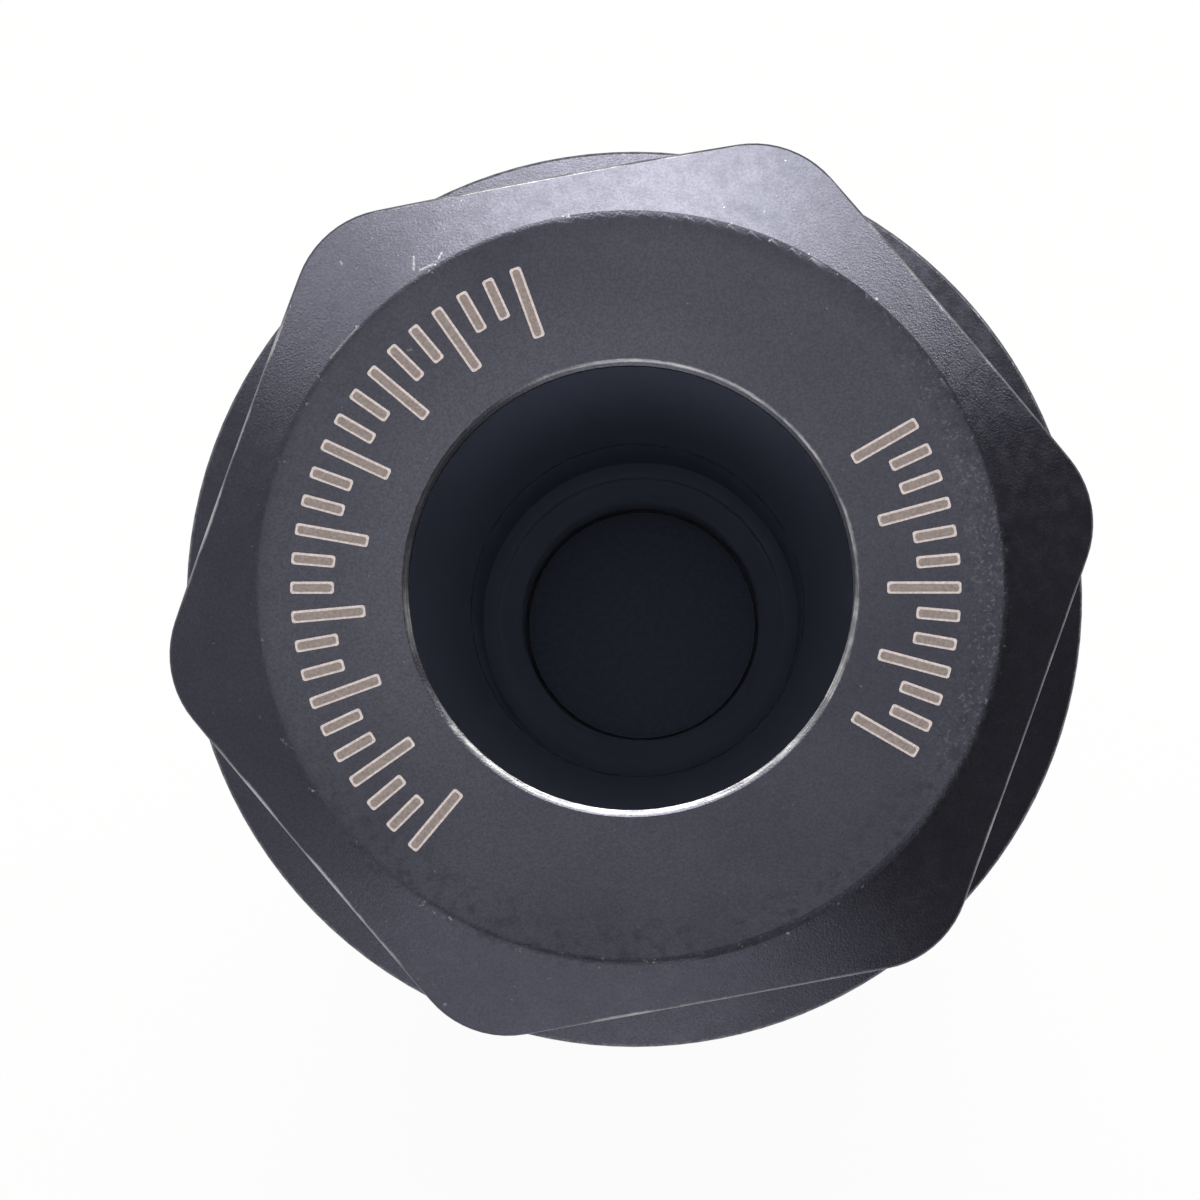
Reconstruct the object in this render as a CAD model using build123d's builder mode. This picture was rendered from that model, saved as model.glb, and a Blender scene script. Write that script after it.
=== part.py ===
from build123d import *
import os
from math import cos, radians, tan

# Straight shank collet chuck, in millimetres. +Z runs up from the shank's end to the nose.
# Threads are drawn as plain cylinders at their outside diameter, with a running clearance.

# Shank and body
shank_diameter = 20.0
body_length = 100.0
shank_chamfer = 1.0
shoulder_chamfer = 0.5

# Two wrench flats behind the nut
flats_across = 17.0
flats_length = 12.0
flats_setback = 1.2
flats_corner_radius = 1.0

# Thread that carries the nut
thread_diameter = 19.0
thread_pitch = 1.0
thread_length = 10.0
undercut_width = 1.8
undercut_depth = 0.8
running_clearance = 0.03

# Collet that the socket and the nut are made for
collet_diameter = 17.0
collet_head_length = 4.0
collet_cone_length = 3.0
collet_groove_width = 2.7
collet_groove_diameter = 13.8
collet_recess = 1.0

# Tapered socket and the bore behind it
socket_diameter = 16.0
taper_half_angle = 8.0
taper_length = 17.5
mouth_break = 0.3
relief_diameter = 11.0
relief_length = 14.0
tapped_length = 30.0
through_diameter = 8.5
drill_half_angle = 59.0
centre_diameter = 10.5
centre_half_angle = 30.0

# Stop screw behind the socket
stop_diameter = 10.0
stop_pitch = 1.5
stop_length = 12.0
stop_depth = 40.0
stop_key_size = 5.0
stop_key_depth = 4.5

# Clamping nut, outside
nut_length = 17.5
nut_across_flats = 25.0
nut_corner_radius = 3.0
nut_face_diameter = 22.2
nut_chamfer_angle = 30.0
collar_diameter = 28.0
collar_length = 4.5
collar_slope_angle = 25.0
collar_edge = 0.5
collar_blend = 0.15
face_blend = 0.5
hexagon_blend = 0.12

# Clamping nut, inside
nut_bore_diameter = 13.2
bore_rim = 0.2
bore_rim_angle = 30.0
cone_half_angle = 30.0
pocket_clearance = 0.15
lip_thickness = 1.8
lip_clearance = 0.1
lip_break = 0.5
nut_relief_width = 2.0
nut_relief_depth = 0.3
nut_lead_in = 0.6

# A 60 degree thread is 0.6134 of its pitch deep
THREAD_DEPTH_SHARE = 0.6134
# Half the angle that one side of a hexagon takes up
HEXAGON_HALF_ANGLE = 30.0
# How far a cutting shape runs past the metal
OVERCUT = 1.0
# How near two radii are when they count as the same
SAME_RADIUS = 1e-6

# Heights and radii of the body
shank_radius = shank_diameter / 2
thread_radius = thread_diameter / 2
thread_depth = THREAD_DEPTH_SHARE * thread_pitch
thread_start = body_length - thread_length
shoulder = thread_start - undercut_width
undercut_radius = thread_radius - undercut_depth
flats_end = shoulder - flats_setback
flats_start = flats_end - flats_length

# Heights and radii of the socket
socket_radius = socket_diameter / 2
taper_end = body_length - taper_length
taper_end_radius = socket_radius - taper_length * tan(radians(taper_half_angle))
relief_end = taper_end - relief_length
tapped_end = relief_end - tapped_length
drill_step = (relief_diameter - stop_diameter) / 2 / tan(radians(drill_half_angle))
stop_thread_depth = THREAD_DEPTH_SHARE * stop_pitch
centre_depth = (centre_diameter - through_diameter) / 2 / tan(radians(centre_half_angle))

# Where the nut stands when it holds a collet: the collet's own sizes set it
collet_radius = collet_diameter / 2
taper_reach = (collet_radius - socket_radius) / tan(radians(taper_half_angle))
collet_face = body_length + taper_reach + collet_groove_width + collet_head_length
nut_face = collet_face + collet_recess
nut_rear = nut_face - nut_length

# Depths behind the nut's face, and radii inside it
nut_bore_radius = nut_bore_diameter / 2
cone_tangent = tan(radians(cone_half_angle))
collet_nose_radius = collet_radius - collet_cone_length * cone_tangent
cone_depth = collet_recess + (nut_bore_radius - collet_nose_radius) / cone_tangent
pocket_radius = collet_radius + pocket_clearance
pocket_depth = cone_depth + (pocket_radius - nut_bore_radius) / cone_tangent
lip_depth = collet_recess + collet_head_length + lip_clearance
lip_end_depth = lip_depth + lip_thickness
lip_near_radius = collet_groove_diameter / 2 + lip_clearance
lip_radius = (lip_near_radius + collet_radius) / 2
lip_offset = (collet_radius - lip_near_radius) / 2
nut_thread_radius = thread_radius + running_clearance
nut_relief_radius = nut_thread_radius + nut_relief_depth
nut_thread_depth = lip_end_depth + nut_relief_width


def make_chuck_body():
    with BuildPart() as chuck_body:
        # Outside, turned
        with BuildSketch(Plane.XZ):
            with BuildLine():
                Polyline(
                    (0, 0),
                    (shank_radius - shank_chamfer, 0),
                    (shank_radius, shank_chamfer),
                    (shank_radius, shoulder - shoulder_chamfer),
                    (shank_radius - shoulder_chamfer, shoulder),
                    (undercut_radius, shoulder),
                    (undercut_radius, thread_start - (thread_radius - undercut_radius)),
                    (thread_radius, thread_start),
                    (thread_radius, body_length - thread_depth),
                    (thread_radius - thread_depth, body_length),
                    (0, body_length),
                    close=True,
                )
            make_face()
        revolve(axis=Axis.Z)

        # Taper, relief, tapped length and through hole, bored on one axis
        with BuildSketch(Plane.XZ):
            with BuildLine():
                Polyline(
                    (0, 0),
                    (centre_diameter / 2, 0),
                    (through_diameter / 2, centre_depth),
                    (through_diameter / 2, tapped_end),
                    (stop_diameter / 2, tapped_end + stop_thread_depth),
                    (stop_diameter / 2, relief_end - drill_step),
                    (relief_diameter / 2, relief_end),
                    (relief_diameter / 2, taper_end),
                    (taper_end_radius, taper_end),
                    (socket_radius, body_length),
                    (0, body_length),
                    close=True,
                )
            make_face()
        revolve(axis=Axis.Z, mode=Mode.SUBTRACT)

        # Mouth of the socket, its edge broken
        with BuildSketch(Plane.XZ):
            with BuildLine():
                Polyline(
                    (0, body_length - mouth_break),
                    (socket_radius, body_length - mouth_break),
                    (socket_radius + mouth_break, body_length),
                    (0, body_length),
                    close=True,
                )
            make_face()
        revolve(axis=Axis.Z, mode=Mode.SUBTRACT)

        # Wrench flats, milled across with a round-cornered cutter
        with BuildSketch(Plane.XZ) as flat_side:
            with Locations((flats_across / 2, flats_start)):
                Rectangle(shank_radius, flats_length, align=(Align.MIN, Align.MIN))
            fillet(flat_side.vertices().group_by(Axis.X)[0], flats_corner_radius)
            mirror(about=Plane.YZ)
        extrude(amount=shank_radius, both=True, mode=Mode.SUBTRACT)
    chuck_body.part.label = "chuck_body"
    return chuck_body.part


def make_stop_screw():
    stop_rear = body_length - stop_depth - stop_length
    with BuildPart() as stop_screw:
        with BuildSketch(Plane.XY.offset(stop_rear)):
            Circle(stop_diameter / 2 - running_clearance)
        extrude(amount=stop_length)
        chamfer(stop_screw.edges().filter_by(GeomType.CIRCLE), stop_thread_depth)

        # Key socket in the rear end; the front end is the plain stop
        with BuildSketch(Plane.XY.offset(stop_rear)):
            RegularPolygon(stop_key_size / 2, 6, major_radius=False)
        extrude(amount=stop_key_depth, mode=Mode.SUBTRACT)
    stop_screw.part.label = "stop_screw"
    return stop_screw.part


def make_clamping_nut():
    collar_radius = collar_diameter / 2
    flat_radius = nut_across_flats / 2
    face_radius = nut_face_diameter / 2
    collar_front = nut_rear + collar_length
    slope_rise = (collar_radius - flat_radius) * tan(radians(collar_slope_angle))
    chamfer_radius = flat_radius / cos(radians(HEXAGON_HALF_ANGLE)) + OVERCUT
    chamfer_drop = (chamfer_radius - face_radius) * tan(radians(nut_chamfer_angle))
    rim_drop = bore_rim * tan(radians(bore_rim_angle))

    with BuildPart() as clamping_nut:
        # Rear collar, its shoulder sloping down from the flats
        with BuildSketch(Plane.XZ):
            with BuildLine():
                Polyline(
                    (0, nut_rear),
                    (collar_radius - collar_edge, nut_rear),
                    (collar_radius, nut_rear + collar_edge),
                    (collar_radius, collar_front),
                    (flat_radius, collar_front + slope_rise),
                    (0, collar_front + slope_rise),
                    close=True,
                )
            make_face()
        revolve(axis=Axis.Z)
        collar_circles = clamping_nut.edges().filter_by(GeomType.CIRCLE).group_by(Axis.Z)
        fillet(collar_circles[-2], collar_blend)

        # Hexagon with its corners rounded
        with BuildSketch(Plane.XY.offset(collar_front)) as hexagon:
            RegularPolygon(flat_radius, 6, major_radius=False)
            fillet(hexagon.vertices(), nut_corner_radius)
        extrude(amount=nut_face - collar_front)

        # Front chamfer, turned round the flat face
        with BuildSketch(Plane.XZ):
            with BuildLine():
                Polyline(
                    (face_radius, nut_face),
                    (chamfer_radius, nut_face - chamfer_drop),
                    (chamfer_radius, nut_face + OVERCUT),
                    (face_radius, nut_face + OVERCUT),
                    close=True,
                )
            make_face()
        revolve(axis=Axis.Z, mode=Mode.SUBTRACT)

        # Its two edges, worn a little round
        front_cone = clamping_nut.faces().filter_by(GeomType.CONE).sort_by(Axis.Z)[-1]
        cone_edges = front_cone.edges().filter_by(GeomType.LINE, reverse=True).group_by(Axis.Z)
        hexagon_edges = [edge for group in cone_edges[:-1] for edge in group]
        fillet(hexagon_edges, hexagon_blend)
        fillet(clamping_nut.faces().sort_by(Axis.Z)[-1].edges(), face_blend)

        # Front bore, the cone that presses the collet in, and the pocket for its head
        with BuildSketch(Plane.XZ):
            with BuildLine():
                Polyline(
                    (0, nut_face + OVERCUT),
                    (nut_bore_radius, nut_face + OVERCUT),
                    (nut_bore_radius, nut_face - cone_depth),
                    (pocket_radius, nut_face - pocket_depth),
                    (pocket_radius, nut_face - lip_depth),
                    (0, nut_face - lip_depth),
                    close=True,
                )
            make_face()
        revolve(axis=Axis.Z, mode=Mode.SUBTRACT)

        # Rim of the front bore, its edge broken
        with BuildSketch(Plane.XZ):
            with BuildLine():
                Polyline(
                    (0, nut_face - rim_drop),
                    (nut_bore_radius, nut_face - rim_drop),
                    (nut_bore_radius + bore_rim, nut_face),
                    (0, nut_face),
                    close=True,
                )
            make_face()
        revolve(axis=Axis.Z, mode=Mode.SUBTRACT)

        # Thread relief, thread and rear lead-in
        with BuildSketch(Plane.XZ):
            with BuildLine():
                Polyline(
                    (0, nut_face - lip_end_depth),
                    (nut_relief_radius, nut_face - lip_end_depth),
                    (nut_relief_radius, nut_face - nut_thread_depth + nut_relief_depth),
                    (nut_thread_radius, nut_face - nut_thread_depth),
                    (nut_thread_radius, nut_rear + nut_lead_in),
                    (nut_thread_radius + nut_lead_in, nut_rear),
                    (0, nut_rear),
                    close=True,
                )
            make_face()
        revolve(axis=Axis.Z, mode=Mode.SUBTRACT)

        # Eccentric lip that hooks the collet's groove and pulls the collet out
        with BuildSketch(Plane.XY.offset(nut_face - lip_end_depth)):
            with Locations((lip_offset, 0)):
                Circle(lip_radius)
        extrude(amount=lip_thickness, mode=Mode.SUBTRACT)
        lip_circles = clamping_nut.edges().filter_by(GeomType.CIRCLE)
        lip_edges = lip_circles.filter_by(lambda edge: abs(edge.radius - lip_radius) < SAME_RADIUS)
        chamfer(lip_edges.sort_by(Axis.Z)[0], lip_break)
    clamping_nut.part.label = "clamping_nut"
    return clamping_nut.part


os.makedirs("parts", exist_ok=True)
for piece in (make_chuck_body(), make_stop_screw(), make_clamping_nut()):
    export_step(piece, "parts/" + piece.label + ".step")
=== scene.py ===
from collections import namedtuple
from math import ceil, cos, pi, radians, sin, tan

import bmesh
import bpy
from mathutils import Matrix, Vector


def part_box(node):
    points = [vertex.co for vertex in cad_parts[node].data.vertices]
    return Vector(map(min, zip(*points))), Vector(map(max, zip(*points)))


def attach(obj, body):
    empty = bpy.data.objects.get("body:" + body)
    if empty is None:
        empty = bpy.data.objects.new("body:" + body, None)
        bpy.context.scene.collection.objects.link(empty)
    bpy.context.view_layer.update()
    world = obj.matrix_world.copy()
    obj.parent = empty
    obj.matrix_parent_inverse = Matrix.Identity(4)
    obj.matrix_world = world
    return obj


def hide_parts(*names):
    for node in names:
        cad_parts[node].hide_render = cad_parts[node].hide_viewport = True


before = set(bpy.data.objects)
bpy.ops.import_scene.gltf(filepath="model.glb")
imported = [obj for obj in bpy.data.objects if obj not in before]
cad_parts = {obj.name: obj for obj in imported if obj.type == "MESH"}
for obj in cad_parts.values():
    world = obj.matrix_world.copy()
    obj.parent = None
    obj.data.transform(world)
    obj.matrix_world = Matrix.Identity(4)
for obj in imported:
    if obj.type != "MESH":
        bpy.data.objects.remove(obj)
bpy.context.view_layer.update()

MM = 0.001
TURN = 2 * pi

# Heights taken from the frame, in metres
nut_low, nut_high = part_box("clamping_nut")
screw_low, screw_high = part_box("stop_screw")
NUT_REAR = nut_low.z
NUT_FACE = nut_high.z
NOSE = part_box("chuck_body")[1].z

# The photograph's camera, in its 1200 pixel frame
IMAGE_PIXELS = 1200
FOCAL_PIXELS = 8096
FACE_CENTRE_PIXELS = (30.7, 12.4)
CAMERA_DISTANCE = 240 * MM
CAMERA_CLIP = 10 * MM
SENSOR_WIDTH = 36
AXIS_LEAN = (-0.0119, 0.025)
NUT_TURN = radians(10.3)

# Nut, in millimetres, as in the CAD part
ACROSS_FLATS = 25.0
FACE_DIAMETER = 22.2
CHAMFER_SLOPE = tan(radians(30))
BORE_DIAMETER = 13.2
RIM_WIDTH = 0.2
COLLAR_DIAMETER = 28.0
COLLAR_LENGTH = 4.5
COLLAR_EDGE = 0.5
NUT_RELIEF_START = 8.9

# Body zones, in millimetres
SHOULDER = 88.2
TAPER_END = 82.5
SOCKET_MOUTH_RADIUS = 8.35

# Threads, in millimetres
THREAD_DIAMETER = 19.0
THREAD_PITCH = 1.0
THREAD_START = 90.0
STOP_DIAMETER = 10.0
STOP_PITCH = 1.5
TAPPED_START = 39.5
TAPPED_END = 68.2
THREAD_PLAY = 0.1

# How far the body's groove starts before its thread and ends past its nose,
# and the nut's ridge stays off its rear end and its relief
GROOVE_LEAD = 1.2
GROOVE_PAST = 0.7
RIDGE_OFF_REAR = 1.0
RIDGE_OFF_RELIEF = 0.4

# Shape of a 60 degree thread: heights and half width are shares of its pitch
FLANK_SLOPE = tan(radians(30))
GROOVE_HEIGHT = 0.6134
RIDGE_HEIGHT = 0.5413
HALF_WIDTH = 7 / 16

# Steps in a turn of a thread, the turns over which a ridge grows at its ends, and the share it starts from
THREAD_STEPS = 96
THREAD_FADE = 0.25
LEAST_FADE = 0.05

# Points nearer than this are joined, and edges that bend by more than this are drawn sharp
WELD_DISTANCE = 0.0002 * MM
SHARP_ANGLE = radians(25)

# Index marks on the nut's face, in millimetres and degrees
MARK_WIDTH = 0.36
MARK_OUTLINE = 0.07
MARK_LONG = 2.2
MARK_SHORT = 1.3
MARK_CORNER = 0.08
MARK_CORNER_STEPS = 3
MARK_LIFT = 0.012
MARK_ROOT = 0.02
MARK_STEP = 5
MARKS_PER_LONG = 3

# Each scale's first angle in the picture, its number of marks and the radius at the middle of a long one
SCALES = (
    (110, 25, 9.0),
    (-30, 13, 8.7),
)

# Short light scratches on the nut's front: the two ends of each,
# in millimetres from the axis as the picture sees them
SCRATCHES = (
    ((-8.08, 7.76), (-8.91, 6.83)),
    ((-6.45, 9.85), (-6.45, 9.45)),
    ((-5.88, 9.61), (-6.26, 9.44)),
    ((-5.62, 9.96), (-5.70, 9.80)),
    ((-6.62, 7.05), (-6.50, 7.07)),
    ((-8.66, 9.75), (-8.62, 9.69)),
    ((-5.57, -12.39), (-5.52, -12.37)),
)
SCRATCH_WIDTH = 0.055

# Heights over which the body's inside darkens above its rear end, and over which its socket gets lighter
# towards the mouth as painted light, and the depth below the crest over which the groove of its thread
# darkens
REAR_DARKENS = (2.2, 3.5)
SOCKET_PAINTED_LIGHT_HEIGHTS = (84.0, 97.0)
GROOVE_DARKENING_DEPTH = 0.6

# Painted light on the stop screw's front chamfer, a pale matt colour that lifts its shade, grows to its full
# between these radii, and between these depths below the screw's face
CHAMFER_PAINTED_LIGHT_RADII = (4.03, 4.08)
CHAMFER_PAINTED_LIGHT_DEPTHS = (1.2, 0.8)

# Colours of the nut, and the darkest and lightest of each part of its marks
BARE_EDGE = (0.62, 0.61, 0.62, 1)
OXIDE_DARK = (0.068, 0.068, 0.088, 1)
OXIDE_LIGHT = (0.084, 0.083, 0.106, 1)
# Painted sheen: a lighter oxide for parts of the face
OXIDE_PAINTED_SHEEN = (0.112, 0.112, 0.138, 1)
OXIDE_GRAIN = (0.036, 0.037, 0.049, 1)
OXIDE_BLOTCH = (0.034, 0.035, 0.046, 1)
ETCHED_PALE = ((0.56, 0.48, 0.48, 1), (0.75, 0.66, 0.65, 1))
ETCHED_BROWN = ((0.22, 0.18, 0.17, 1), (0.33, 0.27, 0.26, 1))

# Colours of the body, outside and then inside
GROUND_DARK = (0.49, 0.49, 0.50, 1)
GROUND_LIGHT = (0.62, 0.62, 0.62, 1)
GROUND_STAIN = (0.40, 0.38, 0.36, 1)
THREAD_CREST = (0.46, 0.46, 0.47, 1)
THREAD_GROOVE = (0.16, 0.155, 0.15, 1)
HOLLOW_DARK = (0.50, 0.53, 0.63, 1)
# Painted light: a lighter copy of the inside colour for the top of the socket
HOLLOW_PAINTED_LIGHT = (0.80, 0.84, 0.98, 1)
# Painted light: a lighter copy of the inside colour for the tapped length, lifting its shade
HOLLOW_TAPPED_PAINTED_LIGHT = (0.59, 0.62, 0.73, 1)
HOLLOW_STEP_DARK = (0.12, 0.13, 0.155, 1)

# Colours of the stop screw
SCREW_DARK = (0.014, 0.016, 0.024, 1)
SCREW_LIGHT = (0.019, 0.021, 0.031, 1)
SCREW_CREST = (0.3, 0.3, 0.3, 1)
# Painted light: a pale matt colour on the front chamfer that lifts its shade
SCREW_CHAMFER_PAINTED_LIGHT = (0.42, 0.44, 0.50, 1)

# Floor: the glow is the share of white that the camera and mirror rays see in place of it
FLOOR_COLOUR = (0.9, 0.9, 0.9, 1)
FLOOR_ROUGHNESS = 0.9
FLOOR_REACH = 3.0
FLOOR_GLOW = 0.93

# Lamps: watts a square metre at a level of 1, and how much blue their light has
LAMP_WATTS = 4
LAMP_BLUE = 0.93

# Surroundings: their plain level, and the share of them that lights matt surfaces
WORLD_LEVEL = 0.65
WORLD_MATT_SHARE = 0.5

# A point of a surface in millimetres, its height, and its radius and angle round the axis
Place = namedtuple("Place", "point z radius angle")


class Graph:
    """Short calls for the shader nodes of one material or world."""

    def __init__(self, tree):
        self.tree = tree

    def node(self, kind, **settings):
        made = self.tree.nodes.new(kind)
        for name, value in settings.items():
            setattr(made, name, value)
        return made

    def plug(self, socket, value):
        if isinstance(value, bpy.types.NodeSocket):
            self.tree.links.new(value, socket)
        elif value is not None:
            socket.default_value = value

    def plug_all(self, made, values):
        for socket, value in zip(made.inputs, values):
            self.plug(socket, value)
        return made.outputs

    def math(self, operation, *values):
        return self.plug_all(self.node("ShaderNodeMath", operation=operation), values)[0]

    def vector_math(self, operation, *values):
        return self.plug_all(self.node("ShaderNodeVectorMath", operation=operation), values)

    def vector(self, x, y, z):
        return self.plug_all(self.node("ShaderNodeCombineXYZ"), (x, y, z))[0]

    def chain(self, operation, result, *others):
        for other in others:
            result = self.math(operation, result, other)
        return result

    def add(self, *values):
        return self.chain("ADD", *values)

    def minus(self, first, second):
        return self.math("SUBTRACT", first, second)

    def times(self, *values):
        return self.chain("MULTIPLY", *values)

    def largest(self, *values):
        return self.chain("MAXIMUM", *values)

    def smallest(self, *values):
        return self.chain("MINIMUM", *values)

    def between(self, first, second):
        return self.math("ABSOLUTE", self.minus(first, second))

    def length(self, x, y):
        return self.math("SQRT", self.add(self.times(x, x), self.times(y, y)))

    def ramp(self, value, start, end, low=0.0, high=1.0):
        made = self.node("ShaderNodeMapRange", interpolation_type="SMOOTHSTEP")
        self.plug_all(made, (value, start, end, low, high))
        return made.outputs["Result"]

    def noise(self, vector, size, detail=3.0, rough=0.55):
        made = self.node("ShaderNodeTexNoise")
        self.plug(made.inputs["Vector"], vector)
        self.plug(made.inputs["Scale"], 1 / size)
        self.plug(made.inputs["Detail"], detail)
        self.plug(made.inputs["Roughness"], rough)
        return made.outputs["Fac"]

    def blend(self, factor, first, second):
        """The colour sockets share their names with the node's other kinds, so they go by number."""
        made = self.node("ShaderNodeMix", data_type="RGBA")
        self.plug(made.inputs[0], factor)
        self.plug(made.inputs[6], first)
        self.plug(made.inputs[7], second)
        return made.outputs[2]

    def bump(self, height, depth, normal=None):
        made = self.node("ShaderNodeBump")
        self.plug(made.inputs["Height"], height)
        self.plug(made.inputs["Distance"], depth * MM)
        self.plug(made.inputs["Normal"], normal)
        return made.outputs["Normal"]

    def position(self):
        coordinates = self.node("ShaderNodeTexCoord").outputs["Object"]
        point = self.vector_math("MULTIPLY", coordinates, (1 / MM, 1 / MM, 1 / MM))["Vector"]
        parts = self.node("ShaderNodeSeparateXYZ")
        self.plug(parts.inputs[0], point)
        x, y, z = parts.outputs
        return Place(point, z, self.length(x, y), self.math("ARCTAN2", y, x))


def new_material(name):
    material = bpy.data.materials.new(name)
    material.use_nodes = True
    material.node_tree.nodes.clear()
    graph = Graph(material.node_tree)
    shader = graph.node("ShaderNodeBsdfPrincipled")
    output = graph.node("ShaderNodeOutputMaterial")
    graph.plug(output.inputs["Surface"], shader.outputs["BSDF"])
    return material, graph, shader


# A ramp over how far a point faces an angle of the picture, given in degrees anticlockwise from its right.
# Its start and end are cosines of the angle between them.
def towards(graph, place, image_angle, start, end, low=0.0, high=1.0):
    cosine = graph.math("COSINE", graph.minus(place.angle, radians(image_angle) - NUT_TURN))
    return graph.ramp(cosine, start, end, low, high)


# Distance from the hexagon's front edge, and sideways from the middle of the nearest flat
def hexagon_edge(graph, place, depth):
    sixth = graph.math("MODULO", graph.add(place.angle, TURN), TURN / 6)
    from_middle = graph.minus(sixth, TURN / 12)
    across = graph.times(place.radius, graph.math("COSINE", from_middle))
    aside = graph.times(place.radius, graph.math("SINE", from_middle))
    cone_depth = graph.times(graph.minus(place.radius, FACE_DIAMETER / 2), CHAMFER_SLOPE)
    from_edge = graph.length(graph.minus(ACROSS_FLATS / 2, across), graph.minus(depth, cone_depth))
    return from_edge, graph.math("ABSOLUTE", aside)


# Half bare metal along the hexagon's front edge, away from its corners and less at the right
def hexagon_wear(graph, place, depth, ragged):
    from_edge, aside = hexagon_edge(graph, place, depth)
    patchy = graph.noise(place.point, size=1.8, detail=2.0)
    width = graph.add(graph.ramp(patchy, 0.38, 0.68, 0.01, 0.05), graph.times(ragged, 0.06))
    return graph.times(
        graph.ramp(graph.minus(from_edge, width), 0.03, -0.03),
        graph.ramp(aside, 5.0, 3.0, 0.15, 1.0),
        graph.ramp(patchy, 0.35, 0.7, 0.22, 0.6),
        towards(graph, place, 10, 0.6, 0.85, 1.0, 0.45),
    )


# Flecks along the rim of the face, with a fine sprinkle inside it at the right
def face_wear(graph, place, depth):
    from_rim = graph.between(place.radius, FACE_DIAMETER / 2 + 0.05)
    fleck = graph.ramp(graph.noise(place.point, size=0.3, detail=4.0, rough=0.7), 0.62, 0.72, 0.0, 0.45)
    flecks = graph.times(graph.ramp(from_rim, 0.22, 0.05), fleck)
    sprinkle = graph.times(
        graph.ramp(graph.noise(place.point, size=0.11, rough=0.6), 0.54, 0.66, 0.0, 0.1),
        towards(graph, place, 5, 0.7, 0.95),
        graph.ramp(place.radius, 9.6, 10.6),
        graph.ramp(place.radius, 11.25, 11.1),
    )
    return graph.times(graph.largest(flecks, sprinkle), graph.ramp(depth, 0.6, 0.4))


# Bare band of the bore's rim, worn and partly a painted highlight: all of its width at the bottom, only its
# outer part at the top
def rim_band_and_highlight(graph, place, ragged):
    bore_radius = BORE_DIAMETER / 2
    outside = bore_radius + RIM_WIDTH
    outer = towards(graph, place, 265, 0.3, 0.9, outside - 0.06, outside - 0.11)
    outer = graph.add(outer, graph.times(ragged, 0.08))
    kept = towards(graph, place, 80, -0.5, 0.6, -0.05, 0.09)
    kept = graph.add(kept, graph.times(ragged, 0.05))
    from_kept = graph.minus(graph.minus(place.radius, bore_radius), kept)
    return graph.times(
        graph.ramp(graph.minus(place.radius, outer), 0.04, -0.05),
        graph.ramp(from_kept, -0.03, 0.02),
    )


# The bare metal runs a little way into the bore, furthest at the bottom, where it is a painted highlight
def bore_start_and_highlight(graph, place, depth, ragged):
    rim_depth = RIM_WIDTH * CHAMFER_SLOPE
    reach = towards(graph, place, 265, 0.5, 0.9, rim_depth + 0.1, rim_depth + 0.9)
    beyond = graph.minus(graph.minus(depth, graph.times(ragged, 1.6)), reach)
    return graph.ramp(beyond, 0.1, -0.1)


# Patches and fine streaks round the bare rim, with less of it left at the bottom
def rim_streaks(graph, place):
    patches = graph.ramp(graph.noise(place.point, size=1.2, rough=0.6), 0.35, 0.65, 0.35, 1.0)
    unrolled = graph.vector(graph.times(place.radius, 30.0), graph.times(place.angle, 5.0), 0.0)
    least = towards(graph, place, 265, 0.0, 0.7, 0.45, 0.12)
    most = towards(graph, place, 265, 0.0, 0.7, 1.0, 0.75)
    streaks = graph.ramp(graph.noise(unrolled, size=1.0, detail=2.0), 0.35, 0.6, least, most)
    return graph.times(patches, streaks)


# Rim of the bore, worn bare and partly a painted highlight, but for two stretches at the left
def rim_wear_and_highlight(graph, place, depth, ragged):
    upper_left = towards(graph, place, 150, 0.80, 0.92, 1.0, 0.25)
    lower_left = towards(graph, place, 207, 0.975, 0.99, 1.0, 0.2)
    return graph.times(
        rim_band_and_highlight(graph, place, ragged),
        bore_start_and_highlight(graph, place, depth, ragged),
        rim_streaks(graph, place),
        graph.smallest(upper_left, lower_left),
    )


# The collar's two round edges, thinly worn
def collar_wear(graph, place, ragged):
    outward = graph.between(place.radius, COLLAR_DIAMETER / 2)
    rear_edge = graph.between(place.z, NUT_REAR / MM + COLLAR_EDGE)
    front_edge = graph.between(place.z, NUT_REAR / MM + COLLAR_LENGTH)
    nearest = graph.largest(outward, graph.smallest(rear_edge, front_edge))
    return graph.times(graph.ramp(nearest, 0.12, 0.03), graph.ramp(ragged, 0.4, 0.6, 0.02, 0.16))


# The light scratches, each a soft line between its two ends
def scratch_wear(graph, place, depth):
    turned_back = Matrix.Rotation(-NUT_TURN, 3, "Z")
    flat_point = graph.vector_math("MULTIPLY", place.point, (1, 1, 0))["Vector"]
    lines = []
    for ends in SCRATCHES:
        first, last = (turned_back @ Vector((x, y, 0)) for x, y in ends)
        along = last - first
        from_first = graph.vector_math("SUBTRACT", flat_point, first)["Vector"]
        share = graph.vector_math("DOT_PRODUCT", from_first, along / along.length_squared)["Value"]
        share = graph.smallest(graph.largest(share, 0.0), 1.0)
        nearest = graph.vector_math("MULTIPLY_ADD", share, along, first)["Vector"]
        distance = graph.vector_math("DISTANCE", flat_point, nearest)["Value"]
        lines.append(graph.ramp(distance, SCRATCH_WIDTH, 0.0))
    return graph.times(graph.largest(*lines), graph.ramp(depth, 3.0, 2.5, 0.0, 0.18))


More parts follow.
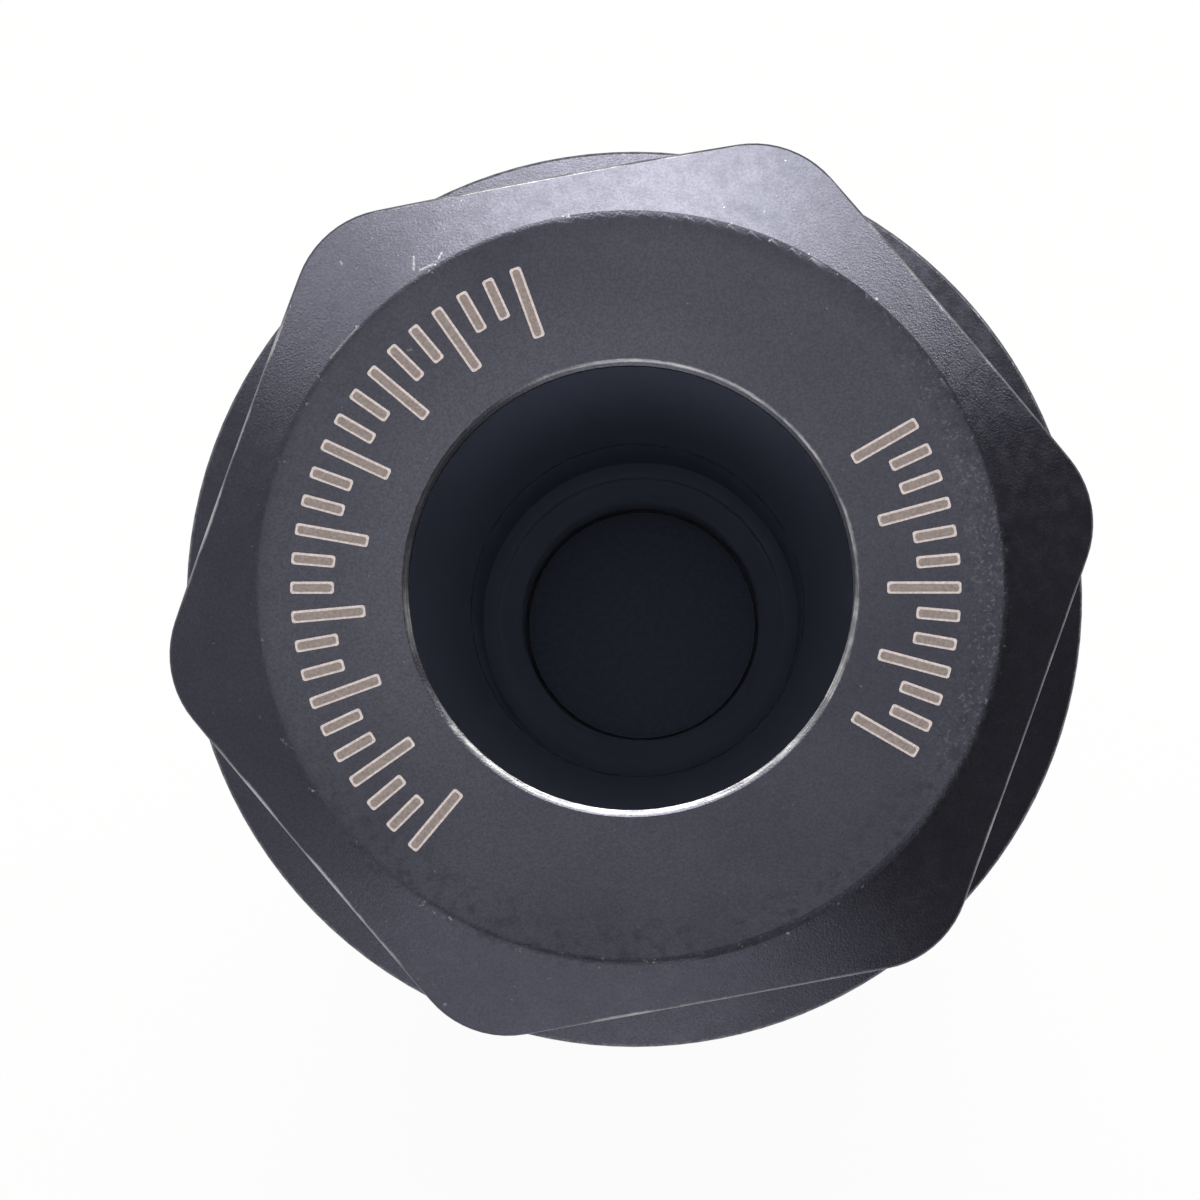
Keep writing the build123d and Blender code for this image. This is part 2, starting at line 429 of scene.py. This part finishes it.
# Painted sheen: the oxide of the face is lighter, most beside the bore, less at the upper right and the left
def face_painted_sheen(graph, place, on_face):
    beside_bore = graph.times(
        graph.ramp(place.radius, 10.5, 7.0),
        on_face,
        towards(graph, place, 140, -0.9, 1.0),
    )
    upper_right = graph.times(
        towards(graph, place, 55, 0.3, 1.0),
        on_face,
        graph.ramp(place.radius, 11.0, 10.2, 0.0, 0.45),
    )
    left = graph.times(
        towards(graph, place, 165, 0.5, 0.85),
        on_face,
        graph.ramp(place.radius, 11.2, 10.7, 0.0, 0.4),
    )
    return graph.largest(beside_bore, upper_right, left)


# Dark blotches towards the rim of the face, fewer at the upper left
def face_blotches(graph, place, on_face):
    return graph.times(
        graph.ramp(place.radius, 9.2, 10.6),
        on_face,
        towards(graph, place, 300, -0.2, 0.4, 0.3, 1.0),
        graph.ramp(graph.noise(place.point, size=0.4, detail=4.0, rough=0.7), 0.48, 0.66, 0.0, 0.5),
    )


# Oxide colour: cloudy at large scale, grainy at small scale
def oxide_colour(graph, place, depth):
    on_face = graph.ramp(depth, 0.2, 0.1)
    cloudy = graph.ramp(graph.noise(place.point, size=5.0), 0.3, 0.7)
    grain = graph.ramp(graph.noise(place.point, size=0.08, rough=0.65), 0.3, 0.7)
    oxide = graph.blend(cloudy, OXIDE_DARK, OXIDE_LIGHT)
    # Painted sheen on parts of the face
    oxide = graph.blend(face_painted_sheen(graph, place, on_face), oxide, OXIDE_PAINTED_SHEEN)
    oxide = graph.blend(graph.times(grain, 0.45), oxide, OXIDE_GRAIN)
    return graph.blend(face_blotches(graph, place, on_face), oxide, OXIDE_BLOTCH)


# Fine pebbled grain over faint turning lines, smoother at the upper right
def oxide_bump(graph, place, depth):
    rings = graph.noise(graph.vector(graph.minus(place.radius, depth), 0.0, 0.0), size=0.06, detail=2.0)
    smoothed = towards(graph, place, 65, 0.86, 0.98, 1.0, 0.45)
    pebbles = graph.times(graph.noise(place.point, size=0.07, detail=2.0, rough=0.6), smoothed)
    return graph.bump(pebbles, 0.009, graph.bump(rings, 0.0006))


# Dark oxide finish of the nut, worn along its edges, with a few bright specks all over
def black_oxide():
    material, graph, shader = new_material("black_oxide_worn")
    place = graph.position()
    depth = graph.minus(NUT_FACE / MM, place.z)
    ragged = graph.noise(place.point, size=0.22, rough=0.7)
    # Worn bare rim, partly a painted highlight at the bottom
    bare_rim_and_highlight = rim_wear_and_highlight(graph, place, depth, ragged)
    wear = graph.largest(
        hexagon_wear(graph, place, depth, ragged),
        face_wear(graph, place, depth),
        bare_rim_and_highlight,
        collar_wear(graph, place, ragged),
        scratch_wear(graph, place, depth),
        graph.ramp(graph.noise(place.point, size=0.13, detail=2.0), 0.72, 0.8, 0.0, 0.2),
    )
    oxide = oxide_colour(graph, place, depth)
    satin = graph.ramp(graph.noise(place.point, size=0.5), 0.3, 0.7, 0.20, 0.30)
    graph.plug(shader.inputs["Base Color"], graph.blend(wear, oxide, BARE_EDGE))
    graph.plug(shader.inputs["Metallic"], 1.0)
    graph.plug(shader.inputs["Roughness"], graph.add(satin, graph.times(bare_rim_and_highlight, 0.25)))
    graph.plug(shader.inputs["Normal"], oxide_bump(graph, place, depth))
    return material


# Ground steel with faint stains, and a turned thread that darkens towards the roots of its grooves
def outside_colour(graph, place, streak, threaded):
    stain = graph.ramp(graph.noise(place.point, size=7.0, detail=4.0, rough=0.6), 0.45, 0.75)
    ground = graph.blend(graph.ramp(streak, 0.3, 0.7), GROUND_DARK, GROUND_LIGHT)
    ground = graph.blend(graph.times(stain, 0.25), ground, GROUND_STAIN)
    groove = graph.ramp(place.radius, THREAD_DIAMETER / 2, THREAD_DIAMETER / 2 - GROOVE_DARKENING_DEPTH)
    return graph.blend(threaded, ground, graph.blend(groove, THREAD_CREST, THREAD_GROOVE))


# Painted light: the socket is lighter at its top towards the mouth, and the tapped length behind it is
# lighter all round, which lifts its shade;
# a thin darker line lies on the narrow step at the taper's end
def inside_colour(graph, place):
    # Painted light: lighter at the socket's top, towards its mouth
    socket_painted_light = graph.times(towards(graph, place, 90, 0.3, 1.0), graph.ramp(place.z, *SOCKET_PAINTED_LIGHT_HEIGHTS))
    # Painted light: the tapped length is lighter all round, which lifts its shade
    tapped_painted_light = graph.ramp(place.z, TAPPED_END + 0.3, TAPPED_END)
    step_darker = graph.ramp(graph.between(place.z, TAPER_END), 0.03, 0.01)
    hollow = graph.blend(socket_painted_light, HOLLOW_DARK, HOLLOW_PAINTED_LIGHT)
    hollow = graph.blend(tapped_painted_light, hollow, HOLLOW_TAPPED_PAINTED_LIGHT)
    return graph.blend(step_darker, hollow, HOLLOW_STEP_DARK)


# The turning lines run round the axis, so outside they spread a highlight along it
def stretch_highlights(graph, shader, inside):
    tangent = graph.node("ShaderNodeTangent", direction_type="RADIAL", axis="Z")
    graph.plug(shader.inputs["Tangent"], tangent.outputs["Tangent"])
    graph.plug(shader.inputs["Anisotropic"], graph.ramp(inside, 0.0, 1.0, 0.7, 0.0))
    graph.plug(shader.inputs["Anisotropic Rotation"], 0.25)


# Ground and turned steel of the body, with bluish grey steel inside
def ground_steel():
    material, graph, shader = new_material("ground_steel_turned")
    place = graph.position()
    inside = graph.times(
        graph.ramp(place.radius, SOCKET_MOUTH_RADIUS + 0.05, SOCKET_MOUTH_RADIUS - 0.05),
        graph.ramp(place.z, *REAR_DARKENS),
    )
    threaded = graph.ramp(place.z, SHOULDER - 0.05, SHOULDER + 0.05)
    along_axis = graph.vector(0.0, 0.0, place.z)
    streak = graph.noise(along_axis, size=0.35, detail=4.0, rough=0.7)
    outside = outside_colour(graph, place, streak, threaded)
    graph.plug(shader.inputs["Base Color"], graph.blend(inside, outside, inside_colour(graph, place)))
    graph.plug(shader.inputs["Metallic"], 1.0)
    fine = graph.ramp(streak, 0.3, 0.7, 0.20, 0.30)
    dulled = graph.largest(graph.times(threaded, 0.12), graph.times(inside, 0.5))
    graph.plug(shader.inputs["Roughness"], graph.add(fine, dulled))
    stretch_highlights(graph, shader, inside)

    # Grinding lines round the shank, and a fine grain over them
    lined = graph.bump(graph.noise(along_axis, size=0.05, rough=0.7), 0.0008)
    grain = graph.noise(place.point, size=0.15, detail=2.0)
    graph.plug(shader.inputs["Normal"], graph.bump(grain, 0.0008, lined))
    return material


# Matt black of the stop screw, bare on its thread's crests, with painted light on its front chamfer
def screw_black():
    material, graph, shader = new_material("black_screw_matt")
    place = graph.position()
    grain = graph.ramp(graph.noise(place.point, size=0.2), 0.3, 0.7)
    crest = graph.ramp(place.radius, STOP_DIAMETER / 2 - 0.12, STOP_DIAMETER / 2 - 0.05, 0.0, 0.35)
    # Painted light on the front chamfer: pale and matt, it lifts the chamfer's shade
    chamfer_light_heights = (screw_high.z / MM - depth for depth in CHAMFER_PAINTED_LIGHT_DEPTHS)
    chamfer_painted_light = graph.times(graph.ramp(place.radius, *CHAMFER_PAINTED_LIGHT_RADII), graph.ramp(place.z, *chamfer_light_heights))
    black = graph.blend(grain, SCREW_DARK, SCREW_LIGHT)
    black = graph.blend(crest, black, SCREW_CREST)
    graph.plug(shader.inputs["Base Color"], graph.blend(chamfer_painted_light, black, SCREW_CHAMFER_PAINTED_LIGHT))
    graph.plug(shader.inputs["Metallic"], graph.ramp(chamfer_painted_light, 0.0, 1.0, 1.0, 0.0))
    satin = graph.ramp(grain, 0.0, 1.0, 0.18, 0.24)
    graph.plug(shader.inputs["Roughness"], graph.add(satin, graph.times(chamfer_painted_light, 0.6)))
    graph.plug(shader.inputs["Normal"], graph.bump(graph.noise(place.point, size=0.12), 0.001))
    return material


# Grainy surface that etching leaves
def etched(name, dark, light):
    material, graph, shader = new_material(name)
    place = graph.position()
    grain = graph.ramp(graph.noise(place.point, size=0.09, rough=0.7), 0.3, 0.7)
    graph.plug(shader.inputs["Base Color"], graph.blend(grain, dark, light))
    graph.plug(shader.inputs["Metallic"], 0.25)
    graph.plug(shader.inputs["Roughness"], 0.55)
    graph.plug(shader.inputs["Normal"], graph.bump(graph.noise(place.point, size=0.08, detail=2.0), 0.004))
    return material


def link(name, data):
    made = bpy.data.objects.new(name, data)
    bpy.context.scene.collection.objects.link(made)
    return made


def smooth(mesh):
    mesh.shade_smooth()
    mesh.set_sharp_from_angle(angle=SHARP_ANGLE)


def mesh_from(shape, name):
    bmesh.ops.recalc_face_normals(shape, faces=shape.faces)
    mesh = bpy.data.meshes.new(name)
    shape.to_mesh(mesh)
    shape.free()
    return mesh


def set_material(piece, material):
    piece.data.materials.clear()
    piece.data.materials.append(material)


# The faces that join two rings of equally many vertices
def skin(shape, here, there):
    faces = []
    for side in range(len(here)):
        after = (side + 1) % len(here)
        faces.append(shape.faces.new((here[side], here[after], there[after], there[side])))
    return faces


# A closed bar that follows a right-handed helix. Its section gives radius and height, in millimetres,
# and grows to its full size over a fade, in turns, at both ends.
def helical_bar(name, section, pitch, low, high, fade=0.0):
    steps = ceil((high - low) / pitch * THREAD_STEPS)
    base = max(radius for radius, height in section)
    shape = bmesh.new()
    loops = []
    for step in range(steps + 1):
        rise = low + (high - low) * step / steps
        angle = TURN * rise / pitch
        from_end = min(rise - low, high - rise) / pitch
        full = min(1.0, from_end / fade + LEAST_FADE) if fade else 1.0
        loop = []
        for radius, height in section:
            reach = (base - (base - radius) * full) * MM
            place = (reach * cos(angle), reach * sin(angle), (rise + height * full) * MM)
            loop.append(shape.verts.new(place))
        loops.append(loop)
    for here, there in zip(loops, loops[1:]):
        skin(shape, here, there)
    shape.faces.new(loops[0][::-1])
    shape.faces.new(loops[-1])
    return mesh_from(shape, name)


# Section of the groove that cuts an outer thread
def groove_section(diameter, pitch, overlap=0.09):
    outside = diameter / 2
    height = GROOVE_HEIGHT * pitch
    root = outside - height
    wide = HALF_WIDTH * pitch + overlap * FLANK_SLOPE
    narrow = HALF_WIDTH * pitch - height * FLANK_SLOPE
    return [(root, -narrow), (outside + overlap, -wide), (outside + overlap, wide), (root, narrow)]


# Section of the ridge of an inner thread, narrower by its play and bedded in the hole's wall
def ridge_section(diameter, pitch, bed=0.08):
    outside = diameter / 2
    height = RIDGE_HEIGHT * pitch
    inner = outside - height
    wide = HALF_WIDTH * pitch - THREAD_PLAY + bed * FLANK_SLOPE
    narrow = HALF_WIDTH * pitch - THREAD_PLAY - height * FLANK_SLOPE
    return [(outside + bed, -wide), (inner, -narrow), (inner, narrow), (outside + bed, wide)]


# A CAD node's mesh without its stored normals and with its seams joined
def plain_mesh(node, name):
    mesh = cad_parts[node].data.copy()
    mesh.attributes.remove(mesh.attributes["custom_normal"])
    shape = bmesh.new()
    shape.from_mesh(mesh)
    bmesh.ops.remove_doubles(shape, verts=shape.verts, dist=WELD_DISTANCE)
    return mesh_from(shape, name)


# A copy of a CAD node with an outer thread cut into it
def threaded_copy(node, name, diameter, pitch, low, high):
    section = groove_section(diameter, pitch)
    plain = link(name + "_plain", plain_mesh(node, name + "_plain"))
    cutter = link(name + "_cutter", helical_bar(name + "_cutter", section, pitch, low, high))
    cut = plain.modifiers.new("thread", "BOOLEAN")
    cut.operation = "DIFFERENCE"
    cut.solver = "EXACT"
    cut.object = cutter
    depsgraph = bpy.context.evaluated_depsgraph_get()
    mesh = bpy.data.meshes.new_from_object(plain.evaluated_get(depsgraph))
    bpy.data.objects.remove(plain)
    bpy.data.objects.remove(cutter)
    mesh.name = name
    made = link(name, mesh)
    smooth(mesh)
    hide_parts(node)
    return made


# The ridge of an inner thread
def inner_thread(name, diameter, pitch, low, high):
    section = ridge_section(diameter, pitch)
    made = link(name, helical_bar(name, section, pitch, low, high, THREAD_FADE))
    smooth(made.data)
    return made


def add_body(material):
    low, high = THREAD_START - GROOVE_LEAD, NOSE / MM + GROOVE_PAST
    body = threaded_copy("chuck_body", "threaded_body", THREAD_DIAMETER, THREAD_PITCH, low, high)
    set_material(body, material)
    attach(body, "chuck_body")
    low, high = TAPPED_START + STOP_PITCH / 2, TAPPED_END - STOP_PITCH / 2
    hole = inner_thread("tapped_hole_thread", STOP_DIAMETER, STOP_PITCH, low, high)
    set_material(hole, material)
    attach(hole, "chuck_body")


def add_stop_screw(material):
    low, high = screw_low.z / MM - STOP_PITCH, screw_high.z / MM + STOP_PITCH
    screw = threaded_copy("stop_screw", "threaded_stop_screw", STOP_DIAMETER, STOP_PITCH, low, high)
    set_material(screw, material)
    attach(screw, "stop_screw")


def add_nut(material):
    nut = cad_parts["clamping_nut"]
    nut.material_slots[0].material = material
    low, high = NUT_REAR / MM + RIDGE_OFF_REAR, NUT_FACE / MM - NUT_RELIEF_START - RIDGE_OFF_RELIEF
    thread = inner_thread("nut_thread", THREAD_DIAMETER, THREAD_PITCH, low, high)
    set_material(thread, material)
    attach(thread, "clamping_nut")


# Outline of a bar with slightly rounded corners, along the radius and aside of it
def bar_outline(middle, length, width):
    outline = []
    for quarter, (ahead, left) in enumerate(((1, 1), (-1, 1), (-1, -1), (1, -1))):
        for step in range(MARK_CORNER_STEPS + 1):
            sweep = (quarter + step / MARK_CORNER_STEPS) * pi / 2
            along = ahead * (length / 2 - MARK_CORNER) + MARK_CORNER * cos(sweep)
            aside = left * (width / 2 - MARK_CORNER) + MARK_CORNER * sin(sweep)
            outline.append((middle + along, aside))
    return outline


# One bar that points at the nut's axis and stands proud of the face by its top
def add_bar(shape, outline, azimuth, top, material_index):
    rings = []
    for height in (NUT_FACE - MARK_ROOT * MM, NUT_FACE + top * MM):
        ring = []
        for along, aside in outline:
            x = along * cos(azimuth) - aside * sin(azimuth)
            y = along * sin(azimuth) + aside * cos(azimuth)
            ring.append(shape.verts.new((x * MM, y * MM, height)))
        rings.append(ring)
    bottom, upper = rings
    faces = [shape.faces.new(upper), shape.faces.new(bottom[::-1])]
    for face in faces + skin(shape, bottom, upper):
        face.material_index = material_index


# Two plain index scales on the nut's face: each mark is a brown bar with a pale edge
def add_marks(pale, brown):
    shape = bmesh.new()
    for first, count, radius in SCALES:
        for number in range(count):
            azimuth = radians(first + number * MARK_STEP) - NUT_TURN
            length = MARK_LONG if number % MARKS_PER_LONG == 0 else MARK_SHORT
            middle = radius + MARK_LONG / 2 - length / 2
            edge = bar_outline(middle, length, MARK_WIDTH)
            inner = bar_outline(middle, length - 2 * MARK_OUTLINE, MARK_WIDTH - 2 * MARK_OUTLINE)
            add_bar(shape, edge, azimuth, MARK_LIFT / 2, 0)
            add_bar(shape, inner, azimuth, MARK_LIFT, 1)
    marks = link("index_marks", mesh_from(shape, "index_marks"))
    marks.data.materials.append(pale)
    marks.data.materials.append(brown)
    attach(marks, "clamping_nut")


# Directions as the photograph's camera sees them
axis_up = Vector((AXIS_LEAN[0], AXIS_LEAN[1], 1)).normalized()
flat_x = Vector((cos(NUT_TURN), sin(NUT_TURN), 0))
axis_x = (flat_x - axis_up * flat_x.dot(axis_up)).normalized()
camera_to_world = Matrix((axis_x, axis_up.cross(axis_x), axis_up))
face_centre = Vector((0, 0, NUT_FACE))


def add_camera():
    x, y = (pixels / FOCAL_PIXELS for pixels in FACE_CENTRE_PIXELS)
    seen_at = Vector((x, y, -1)) * CAMERA_DISTANCE
    data = bpy.data.cameras.new("photo_camera")
    data.sensor_width = SENSOR_WIDTH
    data.lens = SENSOR_WIDTH * FOCAL_PIXELS / IMAGE_PIXELS
    data.clip_start = CAMERA_CLIP
    camera = link("photo_camera", data)
    place = Matrix.Translation(face_centre - camera_to_world @ seen_at)
    camera.matrix_world = place @ camera_to_world.to_4x4()
    bpy.context.scene.camera = camera


# An upright soft box beyond the picture's top. All sizes are metres from the middle of the nut's face:
# out to the box, to its left and right edges, and to its low and high ones.
def add_softbox(name, distance, sides, heights, level, blue=LAMP_BLUE):
    data = bpy.data.lights.new(name, "AREA")
    data.shape = "RECTANGLE"
    data.size = sides[1] - sides[0]
    data.size_y = heights[1] - heights[0]
    data.energy = level * LAMP_WATTS * data.size * data.size_y
    data.color = (1.0, 1.0, blue)
    light = link(name, data)
    middle = Vector((sum(sides) / 2, distance, sum(heights) / 2))
    light.location = face_centre + Matrix.Rotation(-NUT_TURN, 3, "Z") @ middle
    light.rotation_euler = (radians(-90), 0, -NUT_TURN)
    light.visible_camera = False


def add_lights():
    add_softbox("key_light", distance=0.50, sides=(-0.30, 0.24), heights=(0.08, 0.355), level=4.5)
    add_softbox("key_core", distance=0.52, sides=(-0.22, 0.21), heights=(0.08, 0.58), level=2.4)
    add_softbox("right_wing", distance=0.50, sides=(0.24, 0.72), heights=(0.05, 0.28), level=6.6)
    add_softbox("left_wing", distance=0.50, sides=(-0.75, -0.30), heights=(0.05, 0.45), level=1.9, blue=0.96)


# How far a direction lies inside a soft round patch of the surroundings, from 0 to 1.
# All four angles are in degrees.
def patch(graph, direction, image_angle, off_axis, inner, outer):
    around, tilt = radians(image_angle) - NUT_TURN, radians(off_axis)
    middle = (sin(tilt) * cos(around), sin(tilt) * sin(around), cos(tilt))
    nearness = graph.vector_math("DOT_PRODUCT", direction, middle)["Value"]
    return graph.ramp(nearness, cos(radians(outer)), cos(radians(inner)))


# Soft grey, brighter straight above and at the picture's bottom, with a darker spot between the two
# and a dark side at the picture's right
def world_light(graph):
    direction = graph.node("ShaderNodeTexCoord").outputs["Generated"]
    above = patch(graph, direction, image_angle=0, off_axis=0, inner=15, outer=40)
    below = patch(graph, direction, image_angle=262, off_axis=62, inner=15, outer=40)
    dark_side = patch(graph, direction, image_angle=345, off_axis=65, inner=25, outer=52)
    dark_spot = patch(graph, direction, image_angle=270, off_axis=27, inner=8, outer=22)
    return graph.times(
        graph.add(graph.times(above, 0.35), graph.times(below, 0.68), WORLD_LEVEL),
        graph.ramp(dark_side, 0.0, 1.0, 1.0, 0.33),
        graph.ramp(dark_spot, 0.0, 1.0, 1.0, 0.45),
    )


# White seen directly, and soft grey as light
def add_world():
    world = bpy.data.worlds.new("studio")
    bpy.context.scene.world = world
    world.use_nodes = True
    world.node_tree.nodes.clear()
    graph = Graph(world.node_tree)
    path = graph.node("ShaderNodeLightPath").outputs
    seen = graph.largest(path["Is Camera Ray"], path["Is Transmission Ray"])
    share = graph.ramp(path["Is Glossy Ray"], 0.0, 1.0, WORLD_MATT_SHARE, 1.0)
    background = graph.node("ShaderNodeBackground")
    graph.plug(background.inputs["Color"], (1, 1, 1, 1))
    graph.plug(background.inputs["Strength"], graph.largest(graph.times(world_light(graph), share), seen))
    output = graph.node("ShaderNodeOutputWorld")
    graph.plug(output.inputs["Surface"], background.outputs[0])


# Pale matt floor that looks white and keeps a faint shadow
def floor_material():
    material, graph, shader = new_material("pale_floor")
    graph.plug(shader.inputs["Base Color"], FLOOR_COLOUR)
    graph.plug(shader.inputs["Roughness"], FLOOR_ROUGHNESS)
    path = graph.node("ShaderNodeLightPath").outputs
    seen = graph.largest(path["Is Camera Ray"], path["Is Glossy Ray"], path["Is Transmission Ray"])
    glow = graph.node("ShaderNodeEmission")
    mix = graph.node("ShaderNodeMixShader")
    graph.plug_all(mix, (graph.times(seen, FLOOR_GLOW), shader.outputs[0], glow.outputs[0]))
    output = next(node for node in material.node_tree.nodes if node.type == "OUTPUT_MATERIAL")
    graph.plug(output.inputs["Surface"], mix.outputs[0])
    return material


def add_floor():
    corners = [(x * FLOOR_REACH, y * FLOOR_REACH, 0) for x, y in ((-1, -1), (1, -1), (1, 1), (-1, 1))]
    mesh = bpy.data.meshes.new("floor")
    mesh.from_pydata(corners, [], [(0, 1, 2, 3)])
    mesh.materials.append(floor_material())
    floor = link("floor", mesh)


bpy.context.scene.view_settings.view_transform = "Standard"
steel = ground_steel()
oxide = black_oxide()
add_body(steel)
add_stop_screw(screw_black())
add_nut(oxide)
add_marks(etched("etched_pale", *ETCHED_PALE), etched("etched_brown", *ETCHED_BROWN))
add_camera()
add_lights()
add_world()
add_floor()
